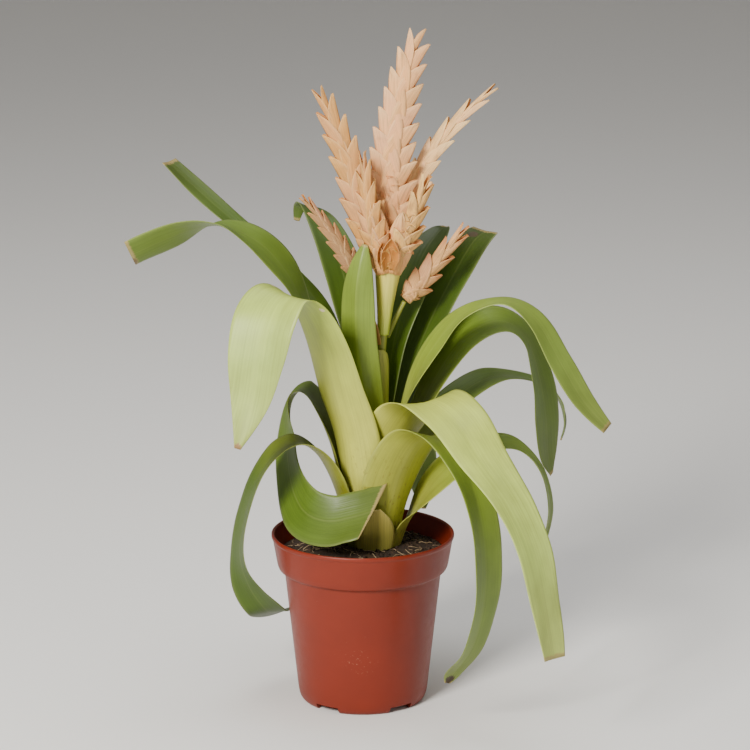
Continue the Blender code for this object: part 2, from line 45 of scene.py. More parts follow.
# Each leaf: bearing, and rows of (out, up, width, roll, half-angle of curl) as in the part, with a
# sideways shift as a sixth value where there is one
LEAVES = {
    "leaf_inner_upright": (250, [
        (7, 105, 16, 0, 64), (8, 150, 23, 0, 78), (13, 200, 28, 0, 62, -2), (18, 245, 27, 0, 48, -5),
        (19, 275, 24, 0, 45, -5), (17, 295, 16, 0, 45, -3), (13, 308, 4, 0, 40, -1)]),
    "leaf_back_right_inner": (56, [
        (7, 105, 12, 0, 50), (8.5, 150, 16, 0, 54), (12.5, 190, 16, 0, 37), (24, 235, 22, 0, 26),
        (41, 266, 32, 0, 22), (60, 289, 28, 0, 18), (78, 300, 16, 0, 18), (86, 302, 5, 0, 18)]),
    "leaf_back_dark": (119, [
        (8.5, 105, 11, 0, 37), (10.5, 150, 14, 0, 38), (14.5, 190, 17, 0, 33), (21, 232, 21, 0, 28),
        (33, 264, 30, 0, 26), (50, 289, 28, 0, 18), (70, 307, 22, 0, 15), (88, 314, 16, 15, 14),
        (101, 312, 9, 30, 12), (106, 302, 4, 40, 10)]),
    "leaf_right_slim": (346, [
        (8.5, 105, 12, 0, 40), (10.2, 140, 13, 0, 36), (15, 175, 18, 4, 34), (25, 210, 23, 22, 24, 2),
        (40, 240, 24, 34, 16, 6), (60, 262, 23, 18, 12, 8), (84, 270, 22, 8, 8, 11),
        (104, 258, 22, 26, 8, 13), (120, 231, 23, 36, 8, 15), (134, 207, 21, 36, 8, 17),
        (151, 188, 14, 26, 8, 18)]),
    "leaf_back_right": (40, [
        (10, 105, 13, 0, 38), (13, 145, 17, 0, 37), (21, 185, 24, 0, 33), (34, 220, 31, 0, 26),
        (52, 252, 34, 0, 20), (72, 279, 34, 0, 15), (86, 295, 32, 0, 14), (97, 301, 24, 0, 14)]),
    "leaf_left_back": (153, [
        (10, 105, 15, 0, 43), (14, 150, 18, 0, 37), (22, 205, 21, 0, 30), (36, 253, 20, 0, 18, -2),
        (61, 279, 19, -4, 14, -2), (87, 300, 18, -8, 12), (115, 319, 18, -10, 12),
        (136, 334, 18, -8, 14), (152, 346, 17, 0, 16)]),
    "leaf_left_long": (188, [
        (11.5, 105, 20, 0, 50), (16, 150, 27, 0, 48), (26, 205, 33, 0, 37), (39, 243, 34, -2, 26),
        (51, 278, 33, -22, 14), (67, 302, 33, -27, 10), (86, 316, 33, -12, 8), (104, 321, 31, 14, 8),
        (128, 315, 29, 44, 8), (156, 303, 27, 50, 8)]),
    "leaf_right_broad": (24, [
        (11.5, 105, 12, 0, 30), (15, 140, 14, 0, 27), (25, 172, 20, 0, 23), (42, 208, 31, 6, 21),
        (64, 236, 36, 10, 16), (89, 246, 36, 15, 12), (109, 234, 36, 30, 12), (120, 205, 35, 48, 12),
        (125, 178, 33, 55, 12), (127, 152, 24, 55, 12), (130, 137, 6, 50, 12)]),
    "leaf_front_right_long": (298, [
        (13, 105, 24, 0, 53), (16, 140, 31, 0, 54, -1), (21, 172, 43, 0, 48, 1),
        (31, 197, 46, 4, 30, 9), (52, 211, 46, 20, 16, 13), (80, 205, 42, 24, 11, 17),
        (108, 184, 38, 16, 11, 21), (136, 162, 34, 8, 12, 26), (156, 137, 31, 4, 12, 29),
        (168, 104, 28, 2, 12, 31), (177, 73, 21, 0, 12, 32)]),
    "leaf_front_left_broad": (226, [
        (14.5, 105, 35, 0, 69), (19, 140, 44, 0, 64), (25, 178, 48, 0, 48, 1), (33, 215, 44, 0, 30, -3),
        (43, 246, 42, -2, 22, -4), (58, 273, 42, -8, 15, -5), (76, 283, 43, -10, 12, -6),
        (91, 270, 43, -23, 12, -6), (99, 246, 38, -29, 14, -6), (104, 219, 26, -32, 14, -7),
        (114, 190, 4, -38, 12, -9)]),
    "leaf_right_mid": (36, [
        (14.5, 105, 14, 0, 28), (20, 132, 19, 0, 27), (38, 166, 26, 0, 22), (66, 192, 29, 5, 16),
        (98, 203, 28, 5, 12), (130, 196, 27, 5, 12), (152, 182, 24, 25, 12), (160, 163, 17, 40, 12),
        (157, 150, 6, 40, 12)]),
    "leaf_back_low_left": (97, [
        (14.5, 105, 15, 0, 30), (19, 135, 20, 0, 30), (30, 165, 28, 0, 26), (52, 187, 33, 0, 16),
        (82, 193, 34, 0, 12), (108, 178, 32, 0, 12), (124, 148, 26, 0, 12), (130, 118, 5, 0, 12)]),
    "leaf_front_right_low": (298, [
        (16, 105, 30, 0, 53), (21.5, 132, 40, 0, 53), (32, 163, 46, 0, 38, 3), (50, 187, 44, 0, 24, 8),
        (74, 190, 40, 0, 16, 12), (95, 177, 36, 0, 18, 15), (108, 155, 33, -8, 20, 17),
        (114, 125, 32, -8, 20, 19), (114, 92, 29, -8, 20, 18), (105, 62, 22, 0, 18, 15),
        (88, 40, 12, 20, 12, 11), (82, 32, 4, 30, 12, 10)]),
    "leaf_left_low": (200, [
        (17.5, 105, 24, 0, 39), (22, 132, 28, 0, 37), (30, 155, 32, 0, 31), (40, 171, 34, 0, 22),
        (53, 178, 34, 0, 16, -1), (67, 170, 34, -4, 13, -5), (78, 148, 33, -10, 12, -12),
        (84, 120, 32, -14, 12, -18), (84, 96, 31, -28, 12, -23), (76, 74, 30, -56, 12, -28),
        (65, 58, 28, -76, 12, -32), (56, 51, 26, -84, 12, -42), (38, 49, 22, -86, 12, -54),
        (24, 48, 6, -86, 12, -64)]),
    "leaf_back_low_right": (72, [
        (16, 105, 17, 0, 30), (22, 126, 22, 0, 29), (35, 146, 28, 0, 23), (57, 158, 31, 0, 16),
        (80, 154, 30, 0, 12), (98, 136, 26, 0, 12), (107, 114, 17, 0, 12), (110, 98, 4, 0, 12)]),
    "leaf_right_low": (343, [
        (17.5, 105, 23, 0, 37), (23, 120, 26, 3, 34), (34, 138, 32, 24, 26), (48, 156, 31, 36, 18),
        (66, 171, 28, 32, 12), (86, 180, 23, 14, 8), (102, 176, 20, -6, 8), (114, 161, 18, -10, 8),
        (119, 139, 13, 0, 8), (116, 117, 4, 20, 8)]),
    "leaf_left_curled": (168, [
        (16, 105, 24, 0, 43), (20, 135, 28, 0, 41), (27, 170, 32, 0, 32), (37, 196, 33, 0, 20),
        (46, 207, 32, 0, 14), (55, 198, 30, -22, 12, -2), (58, 177, 28, -46, 10, -2),
        (55, 156, 29, -56, 10, 7), (48, 141, 31, -66, 10, 20), (37, 132, 34, -76, 10, 32),
        (21, 130, 35, -86, 10, 39), (5, 134, 35, -92, 10, 40), (-8, 138, 34, -94, 10, 37)]),
}

OLD_SHEATH = (272, [
    (19.0, 105, 26, 0, 39, 0), (22.5, 115, 28, 0, 36, 0), (27, 127, 22, 0, 26, 0),
    (31, 137, 7, 0, 16, 0)])

STEM_SHEATHS = {
    "stem_sheath_low": (270, 10.2, [
        (5.4, 172, 30, 0, 150, 0), (5.8, 190, 32, 0, 150, 0), (6.2, 215, 32, 0, 140, 0),
        (6.0, 230, 22, 0, 100, 0), (6.0, 237, 7, 0, 50, 0)]),
    "stem_sheath_high": (262, 15.0, [
        (4.8, 250, 27, 0, 150, 0), (5.4, 262, 29, 0, 150, 0), (5.9, 278, 33, 0, 150, 0),
        (5.8, 289, 31, 0, 140, 0)]),
    "stem_bract_small": (205, 12.5, [
        (4.6, 240, 10, 0, 50, 0), (7.0, 250, 12, 0, 45, 0), (10.6, 262, 9, 0, 35, 0),
        (13.4, 272, 2.5, 0, 25, 0)]),
}

STEM = [(7.0, 0.0, 104.9, 3.4), (8.0, 0.0, 150.0, 3.4), (9.5, 0.0, 205.0, 3.2),
        (12.5, 0.0, 240.0, 3.0), (15.0, 0.0, 265.0, 2.9), (16.6, 0.0, 296.0, 2.7)]
SIDE_STEM = [(16.0, 4.2, 243.0, 1.6), (21.5, 7.0, 255.0, 1.6), (27.0, 8.4, 266.0, 1.5)]
SPIKE_LOW_STALK = [(8.6, 4.4, 247.0, 1.4), (3.5, 3.0, 266.0, 1.4), (-2.2, -2.0, 281.6, 1.4)]

# Each flower spike: base, bend, tip, width at base and at tip, thickness, bracts on a side,
# and the direction its flat face looks, as in the part
SPIKES = {
    "spike_center": ((17.5, 0, 297), (20, -3, 372), (35.8, 0, 446), 36, 15, 6.0, 11, (0.05, -1, 0)),
    "spike_left": ((10.2, -2.6, 291), (-5, -8, 350), (-28.7, -10, 409), 30, 11, 5.0, 8, (-0.25, -1, 0.1)),
    "spike_right": ((23.6, 2.2, 290), (38, 10, 352), (85.8, 12, 406), 24, 6, 4.4, 8, (-0.35, -0.9, 0.5)),
    "spike_front_left": ((12.8, -8.6, 297), (5, -15, 327), (0, -19, 370), 22, 7, 4.2, 6, (-0.3, -1, 0)),
    "spike_front_right": (
        (21.5, -6.4, 298), (30, -12, 318), (41, -11, 353), 25, 9, 4.4, 5, (0.45, -1, 0.1)),
    "bract_front_open": ((16.6, -10.6, 291), (17, -17, 304), (19, -20, 323), 15, 8, 2.6, 3, (0.1, -1, 0)),
    "spike_low_left": ((-3, -2.6, 283), (-17, -8, 310), (-39, -15, 340), 17, 5, 3.6, 6, (0.5, -1, 0.4)),
    "spike_low_right": ((27.6, 8.6, 267), (42, 11, 284), (67, 12, 316), 23, 8, 4.4, 5, (0.35, -1, -0.2)),
}

# How each leaf looks: tone from 0 pale to 1 dark, partly the leaf's own colour and partly painted shade,
# darkest for the back leaves that stand in shadow; edge waviness in mm, and how far it folds
# along its middle, from 0 to 1
LEAF_LOOKS = {
    "leaf_inner_upright": (0.34, 0.4, 1.0),
    "leaf_back_right_inner": (0.85, 0.6, 0.4),
    "leaf_back_dark": (0.85, 0.6, 0.4),
    "leaf_right_slim": (0.28, 0.6, 0.5),
    "leaf_back_right": (0.80, 0.8, 0.4),
    "leaf_left_back": (0.72, 0.5, 0.5),
    "leaf_left_long": (0.50, 0.8, 0.3),
    "leaf_right_broad": (0.50, 0.9, 0.3),
    "leaf_front_right_long": (0.00, 0.8, 0.35),
    "leaf_front_left_broad": (0.06, 1.0, 0.35),
    "leaf_right_mid": (0.55, 0.7, 0.4),
    "leaf_back_low_left": (0.70, 0.8, 0.3),
    "leaf_front_right_low": (0.32, 0.8, 0.8),
    "leaf_left_low": (0.78, 0.8, 0.4),
    "leaf_back_low_right": (0.70, 0.8, 0.3),
    "leaf_right_low": (0.35, 0.5, 0.4),
    "leaf_left_curled": (0.62, 0.7, 0.2),
}


# ---------- curves and grids ----------

def spline(a, b, c, d, t):
    square = 2 * a - 5 * b + 4 * c - d
    cube = 3 * b - a - 3 * c + d
    return 0.5 * (2 * b + (c - a) * t + square * t * t + cube * t ** 3)


def smooth_rows(rows, per_span):
    """The rows joined by a smooth curve, with per_span samples between two of them."""
    found = []
    for i in range(len(rows) - 1):
        before = rows[max(i - 1, 0)]
        after = rows[min(i + 2, len(rows) - 1)]
        for step in range(per_span):
            ends = zip(before, rows[i], rows[i + 1], after)
            found.append([spline(*values, step / per_span) for values in ends])
    found.append(list(rows[-1]))
    return found


def carried_frames(points, side):
    """Along the points: (tangent, side) with the side direction carried from the start without twist."""
    frames = []
    for i in range(len(points)):
        ahead = points[min(i + 1, len(points) - 1)]
        behind = points[max(i - 1, 0)]
        tangent = (ahead - behind).normalized()
        side = (side - tangent * side.dot(tangent)).normalized()
        frames.append((tangent, side.copy()))
    return frames


SPAN_STEPS = 8
GRIP_LENGTH = 45.0
GRIP_FADE = 60.0
RIDGE_HEIGHT = 0.10


def strap_shell(bearing, rows, center, across, thick, wave=0.0, fold=0.0, seed=0.0, slant=0.0):
    """Upper and lower point grids of a strap blade with a channel, fine ridges and a wavy edge.

    Over its first GRIP_LENGTH mm a blade is held by its neighbours, so it neither waves nor folds.
    """
    angle = math.radians(bearing)
    outward = Vector((math.cos(angle), math.sin(angle), 0.0))
    sideways = Vector((-math.sin(angle), math.cos(angle), 0.0))
    sampled = smooth_rows([(*row, 0)[:6] for row in rows], SPAN_STEPS)
    start = Vector((*center, 0.0))
    points = [start + outward * r[0] + sideways * r[5] + Vector((0, 0, r[1])) for r in sampled]
    lengths = [0.0]
    for a, b in zip(points, points[1:]):
        lengths.append(lengths[-1] + (b - a).length)
    total = lengths[-1]
    frames = carried_frames(points, sideways)
    upper, lower, marks = [], [], []
    for row, point, length, (tangent, side) in zip(sampled, points, lengths, frames):
        roll = math.radians(row[3])
        half = math.radians(max(row[4], 3.0))
        face = tangent.cross(side)
        s = side * math.cos(roll) + face * math.sin(roll)
        f = face * math.cos(roll) - side * math.sin(roll)
        width = max(row[2], 1.0)
        radius = width / (2 * half)
        along = length / total
        free = min(1.0, max(0.0, (length - GRIP_LENGTH) / GRIP_FADE))
        top, low, mark = [], [], []
        for step in range(across + 1):
            v = 2 * step / across - 1
            phi = half * v
            side_off = radius * math.sin(phi)
            face_off = radius * (1 - math.cos(phi))
            rise = abs(v) * radius * (1 - math.cos(half))
            face_off += (rise - face_off) * fold * 0.8 * free
            ridge = RIDGE_HEIGHT * math.cos(v * math.pi * 9 + 0.6 * math.sin(length * 0.05)) * (1 - v * v)
            ripple = wave * free * abs(v) ** 3 * noise.noise(Vector((length * 0.035, v * 0.8, seed)))
            middle = point + s * side_off + f * (face_off + ridge + 1.6 * ripple)
            middle = middle + tangent * (slant * v * max(0.0, along * 4 - 3) ** 2)
            normal = (f * math.cos(phi) - s * math.sin(phi)).normalized()
            t = 0.5 * thick * (1 - 0.62 * v ** 6)
            top.append(middle + normal * t)
            low.append(middle - normal * t)
            mark.append((along, v, side_off, length))
        upper.append(top)
        lower.append(low)
        marks.append(mark)
    return upper, lower, marks


MARKS = ("along", "across", "vein", "reach", "under", "tint")


def marked_mesh(name, verts, faces, data):
    """A smooth mesh with one value per point for each mark that the materials read."""
    mesh = bpy.data.meshes.new(name)
    mesh.from_pydata(verts, [], faces)
    for key, values in data.items():
        layer = mesh.attributes.new(key, "FLOAT", "POINT")
        layer.data.foreach_set("value", values)
    mesh.shade_smooth()
    return mesh


def shell_mesh(shells, name):
    """One mesh from closed shells."""
    verts, faces, data = [], [], {key: [] for key in MARKS}
    for upper, lower, marks, tint in shells:
        rows, wide = len(upper), len(upper[0])
        first = len(verts)
        for layer, under in ((upper, 0.0), (lower, 1.0)):
            for line, mark in zip(layer, marks):
                for p, m in zip(line, mark):
                    verts.append((p.x * MM, p.y * MM, p.z * MM))
                    for key, value in zip(MARKS, (*m, under, tint)):
                        data[key].append(value)
        second = first + rows * wide
        for i in range(rows - 1):
            for j in range(wide - 1):
                k = i * wide + j
                faces.append((first + k, first + k + 1, first + k + wide + 1, first + k + wide))
                faces.append((second + k, second + k + wide, second + k + wide + 1, second + k + 1))
        for i in range(rows - 1):
            a, b = i * wide, (i + 1) * wide
            faces.append((first + a, first + b, second + b, second + a))
            a, b = a + wide - 1, b + wide - 1
            faces.append((first + b, first + a, second + a, second + b))
        end = (rows - 1) * wide
        for j in range(wide - 1):
            faces.append((first + j, second + j, second + j + 1, first + j + 1))
            faces.append((first + end + j + 1, second + end + j + 1, second + end + j, first + end + j))
    return marked_mesh(name, verts, faces, data)


def placed(name, data):
    obj = bpy.data.objects.new(name, data)
    bpy.context.scene.collection.objects.link(obj)
    return obj


def add_piece(name, mesh, material, node):
    """The mesh as a piece of the model, in place of the CAD node if one is given."""
    obj = placed(name, mesh)
    mesh.materials.clear()
    mesh.materials.append(material)
    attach(obj, "root")
    if node:
        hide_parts(node)


# ---------- materials ----------

class Nodes:
    """Short ways to add and join shader nodes."""

    def __init__(self, name):
        self.material = bpy.data.materials.new(name)
        self.material.use_nodes = True
        self.tree = self.material.node_tree
        self.tree.nodes.clear()

    def add(self, kind, **settings):
        made = self.tree.nodes.new(kind)
        for key, value in settings.items():
            setattr(made, key, value)
        return made

    def attribute(self, name):
        return self.add("ShaderNodeAttribute", attribute_name=name).outputs["Fac"]

    def feed(self, socket, source):
        if isinstance(source, (int, float)):
            socket.default_value = source
        elif isinstance(source, tuple):
            socket.default_value = (*source, 1.0)
        else:
            self.tree.links.new(source, socket)

    def fed(self, kind, sources, **settings):
        """A new node with sources for its inputs, by name or number."""
        made = self.add(kind, **settings)
        for key, source in sources.items():
            self.feed(made.inputs[key], source)
        return made

    def value(self, kind, a, b=0.0, clamp=False):
        return self.fed("ShaderNodeMath", {0: a, 1: b}, operation=kind, use_clamp=clamp).outputs[0]

    def ramp(self, source, stops):
        made = self.add("ShaderNodeValToRGB")
        ramp = made.color_ramp
        while len(ramp.elements) > 1:
            ramp.elements.remove(ramp.elements[-1])
        ramp.elements[0].position = stops[0][0]
        ramp.elements[0].color = (*stops[0][1], 1.0)
        for position, color in stops[1:]:
            ramp.elements.new(position).color = (*color, 1.0)
        self.tree.links.new(source, made.inputs["Fac"])
        return made.outputs["Color"]

    def gray(self, source, stops):
        return self.ramp(source, [(position, (level, level, level)) for position, level in stops])

    def mix(self, factor, a, b, kind="MIX"):
        sources = {0: factor, 6: a, 7: b}
        return self.fed("ShaderNodeMix", sources, data_type="RGBA", blend_type=kind).outputs[2]

    def vector(self, x, y, z):
        return self.fed("ShaderNodeCombineXYZ", {0: x, 1: y, 2: z}).outputs[0]

    def noise(self, vector, scale, detail=3.0, rough=0.55):
        sources = {"Vector": vector, "Scale": scale, "Detail": detail, "Roughness": rough}
        return self.fed("ShaderNodeTexNoise", sources).outputs["Fac"]

    def streaks(self, across_scale, along_scale, seed, detail):
        """Noise drawn out along a blade, from its vein and reach marks in mm."""
        vein = self.value("MULTIPLY", self.attribute("vein"), across_scale)
        reach = self.value("MULTIPLY", self.attribute("reach"), along_scale)
        return self.noise(self.vector(vein, reach, seed), 1.0, detail)

    def off_center(self, x, at_x, size_x, y, at_y, size_y):
        """How far (x, y) is from a mark's centre, as a share of its size."""
        dx = self.value("DIVIDE", self.value("SUBTRACT", x, at_x), size_x)
        dy = self.value("DIVIDE", self.value("SUBTRACT", y, at_y), size_y)
        squares = self.value("ADD", self.value("MULTIPLY", dx, dx), self.value("MULTIPLY", dy, dy))
        return self.value("SQRT", squares)

    def bump(self, height, strength, distance):
        sources = {"Strength": strength, "Distance": distance, "Height": height}
        return self.fed("ShaderNodeBump", sources).outputs["Normal"]

    def finish(self, color, roughness, normal=None, see_through=0.0, through_color=None, gloss=0.5):
        """The surface, with a share of light let through a thin blade."""
        sources = {"Base Color": color, "Roughness": roughness, "Specular IOR Level": gloss}
        if normal is not None:
            sources["Normal"] = normal
        shader = self.fed("ShaderNodeBsdfPrincipled", sources)
        if see_through:
            glow = self.fed("ShaderNodeBsdfTranslucent", {"Color": through_color or color})
            shares = {0: see_through, 1: shader.outputs[0], 2: glow.outputs[0]}
            shader = self.fed("ShaderNodeMixShader", shares)
        self.fed("ShaderNodeOutputMaterial", {"Surface": shader.outputs[0]})
        return self.material


def blend3(a, b, t):
    return tuple(x + (y - x) * t for x, y in zip(a, b))


def deepen(pale, dark, t):
    """From the pale colour at 0 to the dark one at 1, by equal ratios."""
    return tuple(x ** (1 - t) * y ** t for x, y in zip(pale, dark))


# Leaf colours from sheath to tip, palest leaf first and darkest second, the darkest partly painted shade
LEAF_BASE = ((0.58, 0.56, 0.10), (0.24, 0.25, 0.02))
LEAF_MIDDLE = ((0.52, 0.61, 0.090), (0.050, 0.095, 0.004))
LEAF_FAR = ((0.50, 0.62, 0.150), (0.034, 0.068, 0.004))
LEAF_TIP = ((0.48, 0.56, 0.15), (0.040, 0.066, 0.006))
CUT_BROWN = (0.46, 0.33, 0.13)
SPECK_BROWN = (0.16, 0.08, 0.02)


def leaf_material(name, tone, seed, spots=()):
    """Pale sheath, green blade, long fine veins, brown specks low down."""
    n = Nodes(name)
    along, across, under = n.attribute("along"), n.attribute("across"), n.attribute("under")
    # Tone deepens every colour; on the back leaves in shadow this is partly painted shade
    base, middle, far, tip = (
        deepen(*pair, tone) for pair in (LEAF_BASE, LEAF_MIDDLE, LEAF_FAR, LEAF_TIP))
    top_color = n.ramp(along, [
        (0.0, base), (0.22, blend3(base, middle, 0.35)), (0.45, middle), (0.8, far), (1.0, tip)])
    low_color = n.ramp(along, [
        (0.0, base), (0.3, blend3(base, middle, 0.3)), (0.55, blend3(middle, (0.34, 0.42, 0.09), 0.12)),
        (1.0, blend3(far, (0.28, 0.36, 0.08), 0.12))])
    color = n.mix(under, top_color, low_color)
    lines = n.streaks(0.9, 0.012, seed, 4.0)
    fine = n.streaks(3.2, 0.02, seed + 9.0, 2.0)
    patch = n.streaks(0.06, 0.03, seed + 4.0, 3.0)
    color = n.mix(1.0, color, n.gray(lines, [(0.25, 0.86), (0.5, 1.0), (0.8, 1.10)]), "MULTIPLY")
    color = n.mix(1.0, color, n.gray(fine, [(0.3, 0.93), (0.6, 1.03)]), "MULTIPLY")
    color = n.mix(1.0, color, n.gray(patch, [(0.3, 0.85), (0.7, 1.12)]), "MULTIPLY")
    # Pale margins: painted highlight where the leaf edges catch the light
    edge = n.value("POWER", n.value("ABSOLUTE", across), 14.0)
    color = n.mix(n.value("MULTIPLY", edge, 0.18), color, (0.60, 0.64, 0.24))
    keel = n.value("SUBTRACT", 1.0, n.value("MULTIPLY", n.value("ABSOLUTE", across), 16.0), clamp=True)
    color = n.mix(n.value("MULTIPLY", keel, 0.07), color, (0.60, 0.62, 0.22))
    speck = n.streaks(0.55, 0.22, seed + 2.0, 1.0)
    low_down = n.value("SUBTRACT", 1.0, n.value("MULTIPLY", along, 3.4), clamp=True)
    dots = n.value("MULTIPLY", n.gray(speck, [(0.63, 0.0), (0.67, 1.0)]), low_down)
    color = n.mix(n.value("MULTIPLY", dots, 0.7), color, SPECK_BROWN)
    ragged_end = n.value("ADD", along, n.value("MULTIPLY", lines, 0.012))
    rim = n.gray(ragged_end, [(0.997, 0.0), (1.002, 1.0)])
    color = n.mix(n.value("MULTIPLY", rim, 0.7), color, CUT_BROWN)
    for at_along, at_across, size_along, size_across, spot_color in spots:
        far_off = n.off_center(along, at_along, size_along, across, at_across, size_across)
        ragged = n.value("ADD", far_off, n.value("MULTIPLY", fine, 0.8))
        color = n.mix(n.gray(ragged, [(0.95, 1.0), (1.25, 0.0)]), color, spot_color)
    height = n.value("ADD", lines, n.value("MULTIPLY", fine, 0.35))
    normal = n.bump(height, 0.22, 0.0006)
    rough = n.gray(patch, [(0.3, 0.34), (0.7, 0.46)])
    through = n.mix(1.0, color, (1.25, 1.2, 0.55), "MULTIPLY")
    return n.finish(color, rough, normal, see_through=0.20, through_color=through, gloss=0.36)


def bract_material(name, low, high, tip, seed, dried=0.5):
    """Papery dried bract: long fibres, browner patches, translucent edge."""
    n = Nodes(name)
    along, across, tint = n.attribute("along"), n.attribute("across"), n.attribute("tint")
    color = n.ramp(along, [(0.0, low), (0.35, blend3(low, high, 0.6)), (0.75, high), (1.0, tip)])
    fibre = n.streaks(2.4, 0.06, n.value("MULTIPLY", tint, 37.0), 4.0)
    patch = n.streaks(0.22, 0.10, n.value("ADD", n.value("MULTIPLY", tint, 53.0), seed), 4.0)
    color = n.mix(1.0, color, n.gray(fibre, [(0.3, 0.68), (0.52, 1.0), (0.8, 1.16)]), "MULTIPLY")
    brown = n.gray(patch, [(0.60 - 0.14 * dried, 0.0), (0.78 - 0.12 * dried, 0.4 + 0.4 * dried)])
    color = n.mix(brown, color, (0.46, 0.23, 0.08))
    color = n.mix(n.gray(tint, [(0.0, 0.30), (0.4, 0.0)]), color, (0.66, 0.40, 0.16))
    color = n.mix(n.gray(tint, [(0.6, 0.0), (1.0, 0.3)]), color, (0.94, 0.50, 0.34))
    edge = n.value("POWER", n.value("ABSOLUTE", across), 8.0)
    color = n.mix(n.value("MULTIPLY", edge, 0.45), color, (0.98, 0.70, 0.34))
    color = n.mix(n.value("MULTIPLY", n.attribute("under"), 0.65), color, (0.55, 0.20, 0.04))
    normal = n.bump(fibre, 0.5, 0.0005)
    through = n.mix(1.0, color, (1.1, 0.85, 0.55), "MULTIPLY")
    return n.finish(color, 0.62, normal, see_through=0.25, through_color=through, gloss=0.3)


POT_COLOR = (0.17, 0.015, 0.003)


def pot_material():
    """Terracotta-coloured plastic, faintly cloudy, with a few lime specks low on its front."""
    n = Nodes("pot_plastic")
    place = n.add("ShaderNodeTexCoord").outputs["Object"]
    cloud = n.noise(place, 38.0, 4.0)
    grain = n.noise(place, 1400.0, 2.0)
    scuff = n.noise(place, 160.0, 5.0, 0.7)
    color = n.mix(1.0, POT_COLOR, n.gray(cloud, [(0.3, 0.93), (0.7, 1.07)]), "MULTIPLY")
    split = n.fed("ShaderNodeSeparateXYZ", {0: place})
    near = n.off_center(split.outputs[0], -0.001, 0.014, split.outputs[2], 0.038, 0.012)
    front = n.gray(n.value("MULTIPLY", split.outputs[1], -20.0), [(0.3, 0.0), (0.6, 1.0)])
    lime = n.noise(place, 720.0, 3.0, 0.6)
    lime_patch = n.gray(near, [(0.35, 1.0), (1.0, 0.0)])
    lime_dots = n.value("MULTIPLY", n.gray(lime, [(0.64, 0.0), (0.70, 1.0)]), lime_patch)
    lime_share = n.value("MULTIPLY", n.value("MULTIPLY", lime_dots, front), 0.4)
    color = n.mix(lime_share, color, (0.60, 0.34, 0.24))
    dust = n.gray(n.noise(place, 900.0, 2.0), [(0.75, 0.0), (0.79, 0.25)])
    color = n.mix(dust, color, (0.62, 0.36, 0.26))
    rough = n.gray(scuff, [(0.3, 0.36), (0.7, 0.48)])
    normal = n.bump(grain, 0.10, 0.0002)
    return n.finish(color, rough, normal, gloss=0.36)


def soil_material():
    n = Nodes("peat")
    place = n.add("ShaderNodeTexCoord").outputs["Object"]
    lumps = n.noise(place, 420.0, 6.0, 0.7)
    tone = n.noise(place, 130.0, 4.0)
    color = n.ramp(lumps, [
        (0.3, (0.008, 0.004, 0.002)), (0.55, (0.032, 0.016, 0.008)), (0.75, (0.10, 0.055, 0.026))])
    color = n.mix(n.gray(tone, [(0.5, 0.0), (0.8, 0.4)]), color, (0.13, 0.07, 0.03))
    return n.finish(color, 0.92, n.bump(lumps, 0.8, 0.0012))


def plain_material(name, color, roughness, scale, spread):
    """One colour, made cloudy by spread at the given scale."""
    n = Nodes(name)
    place = n.add("ShaderNodeTexCoord").outputs["Object"]
    cloud = n.noise(place, scale, 4.0)
    tinted = n.mix(1.0, color, n.gray(cloud, [(0.3, 1.0 - spread), (0.7, 1.0 + spread)]), "MULTIPLY")
    return n.finish(tinted, roughness, n.bump(cloud, 0.25, 0.0004))


# ---------- leaves and stems ----------

# Marks on single leaves: place along (0 to 1) and across (-1 to 1), size along and across, colour
SPOTS = {
    "leaf_front_left_broad": [
        (0.60, -0.55, 0.012, 0.30, (0.30, 0.10, 0.04)), (0.585, 0.80, 0.010, 0.16, (0.72, 0.62, 0.42)),
        (0.625, -0.92, 0.022, 0.10, (0.80, 0.66, 0.50)), (1.0, 0.0, 0.020, 1.4, (0.34, 0.21, 0.09))],
    "leaf_left_curled": [(0.50, 0.25, 0.010, 0.14, (0.80, 0.58, 0.36))],
    "leaf_front_right_low": [(0.99, 0.0, 0.03, 1.2, (0.05, 0.03, 0.012))],
    "leaf_back_right": [(0.97, 0.4, 0.02, 0.5, (0.10, 0.07, 0.03))],
    "leaf_left_long": [(1.0, -0.6, 0.012, 0.6, (0.18, 0.12, 0.04))],
}


CURLED_SLANT = 14.0


def build_leaves():
    for index, (name, (bearing, rows)) in enumerate(LEAVES.items()):
        tone, wave, fold = LEAF_LOOKS[name]
        seed = 3.1 * index + 1.7
        slant = CURLED_SLANT if name == "leaf_left_curled" else 0.0
        upper, lower, marks = strap_shell(bearing, rows, CROWN, 20, 0.8, wave, fold, seed, slant)
        mesh = shell_mesh([(upper, lower, marks, 0.5)], "look_" + name)
        skin = leaf_material("skin_" + name, tone, seed, SPOTS.get(name, ()))
        add_piece("look_" + name, mesh, skin, name)
    upper, lower, marks = strap_shell(*OLD_SHEATH, CROWN, 16, 0.6, seed=5.0)
    mesh = shell_mesh([(upper, lower, marks, 0.5)], "look_sheath_old")
    skin = stem_material("dry_sheath", (0.50, 0.47, 0.09), (0.46, 0.37, 0.09), 2.0)
    add_piece("look_sheath_old", mesh, skin, "sheath_old")


